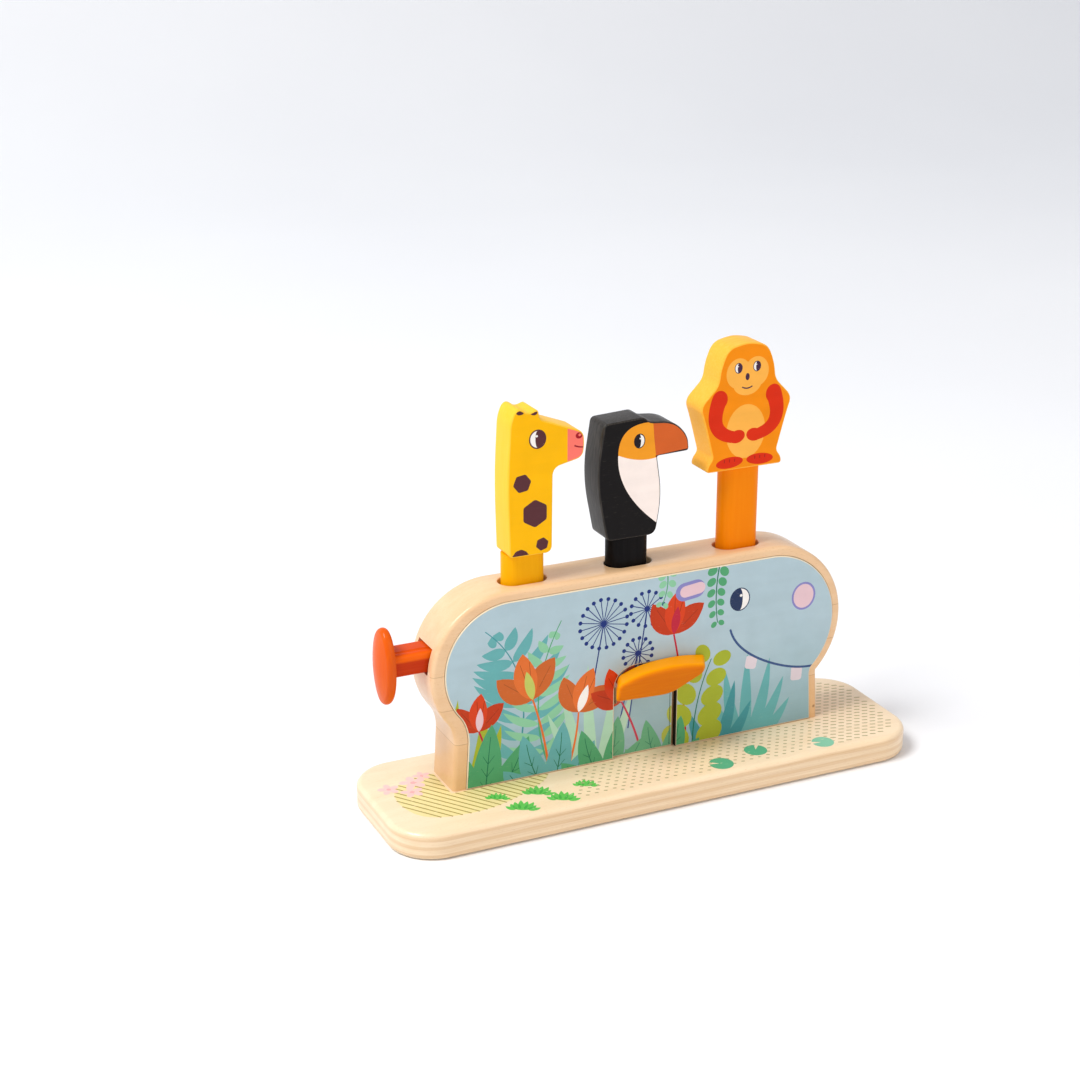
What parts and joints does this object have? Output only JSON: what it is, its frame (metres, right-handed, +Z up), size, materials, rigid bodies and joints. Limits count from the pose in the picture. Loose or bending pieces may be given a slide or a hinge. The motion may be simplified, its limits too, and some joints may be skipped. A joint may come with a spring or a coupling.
{
  "type": "pop up animal toy",
  "caption": "Wooden pop-up toy: a hippo-shaped block on a base plate, with giraffe, toucan and monkey pegs worked by an end button, a side lever and a spring.",
  "frame": {"origin": "centre of the base plate's underside, on the ground", "axes": "+X along the base towards the hippo's nose, -Y to the front, +Z up"},
  "size_m": [0.3, 0.088, 0.2303],
  "materials": {
    "base_wood": "clear lacquered light wood, printed on top",
    "block_wood": "clear lacquered light wood, glued up from strips",
    "printed_panel": "thin board, printed and lacquered",
    "printed_hatch": "thin board, printed and lacquered",
    "felt": "pressed felt",
    "screw_steel": "zinc plated",
    "spring_steel": "spring wire",
    "red_lacquer": "glossy coloured lacquer on wood",
    "amber_lacquer": "satin coloured lacquer on wood",
    "yellow_lacquer": "satin coloured lacquer on wood",
    "black_lacquer": "satin coloured lacquer on wood",
    "orange_lacquer": "satin coloured lacquer on wood",
    "plain_wood": "sanded, bare"
  },
  "bodies": {
    "toy": {"base_plate": "base_wood", "hippo_block": "block_wood", "front_panel": "printed_panel", "back_panel": "printed_panel", "front_hatch": "printed_hatch", "back_hatch": "printed_hatch", "spring_seat": "felt", "base_screw_1": "screw_steel", "base_screw_2": "screw_steel", "base_screw_3": "screw_steel", "base_screw_4": "screw_steel"},
    "button": {"push_button": "red_lacquer", "push_bar": "red_lacquer", "push_wedge": "plain_wood"},
    "rocker": {"rocker_axle": "plain_wood", "kicker_arm": "plain_wood", "front_paddle": "amber_lacquer", "back_paddle": "amber_lacquer"},
    "giraffe_lift": {"giraffe_lifter": "plain_wood", "giraffe_pad": "felt"},
    "toucan_lift": {"toucan_plunger": "plain_wood", "toucan_pad": "felt"},
    "monkey_lift": {"monkey_spring": "spring_steel", "monkey_plunger": "plain_wood", "monkey_pad": "felt"},
    "giraffe": {"giraffe_figure": "yellow_lacquer", "giraffe_peg": "yellow_lacquer"},
    "toucan": {"toucan_figure": "black_lacquer", "toucan_peg": "black_lacquer"},
    "monkey": {"monkey_figure": "orange_lacquer", "monkey_peg": "orange_lacquer"}
  },
  "joints": [
    {"name": "button_push", "type": "slide", "parent": "toy", "child": "button", "axis": [1, 0, 0], "range_m": [0, 0.015]},
    {"name": "giraffe_rise", "type": "slide", "parent": "toy", "child": "giraffe_lift", "axis": [0, 0, 1], "range_m": [0, 0.015]},
    {"name": "giraffe_pull", "type": "slide", "parent": "giraffe_lift", "child": "giraffe", "axis": [0, 0, 1], "range_m": [0, 0.0575]},
    {"name": "rocker_turn", "type": "hinge", "parent": "toy", "child": "rocker", "pos_m": [0.016, 0.0093, 0.0606], "axis": [0, 1, 0], "range_deg": [0, 18]},
    {"name": "toucan_rise", "type": "slide", "parent": "toy", "child": "toucan_lift", "axis": [0, 0, 1], "range_m": [0, 0.0068]},
    {"name": "toucan_pull", "type": "slide", "parent": "toucan_lift", "child": "toucan", "axis": [0, 0, 1], "range_m": [0, 0.0497]},
    {"name": "monkey_press", "type": "slide", "parent": "toy", "child": "monkey_lift", "axis": [0, 0, -1], "range_m": [0, 0.04], "stiffness_N_per_m": 60, "springref_m": -0.04, "deforming": ["monkey_spring"]},
    {"name": "monkey_pull", "type": "slide", "parent": "monkey_lift", "child": "monkey", "axis": [0, 0, 1], "range_m": [0, 0.0159]}
  ],
  "couplings": [
    {"joint": "giraffe_rise", "follows": "button_push", "ratio": 1},
    {"joint": "toucan_rise", "follows": "rocker_turn", "m_per_rad": 0.0215}
  ]
}
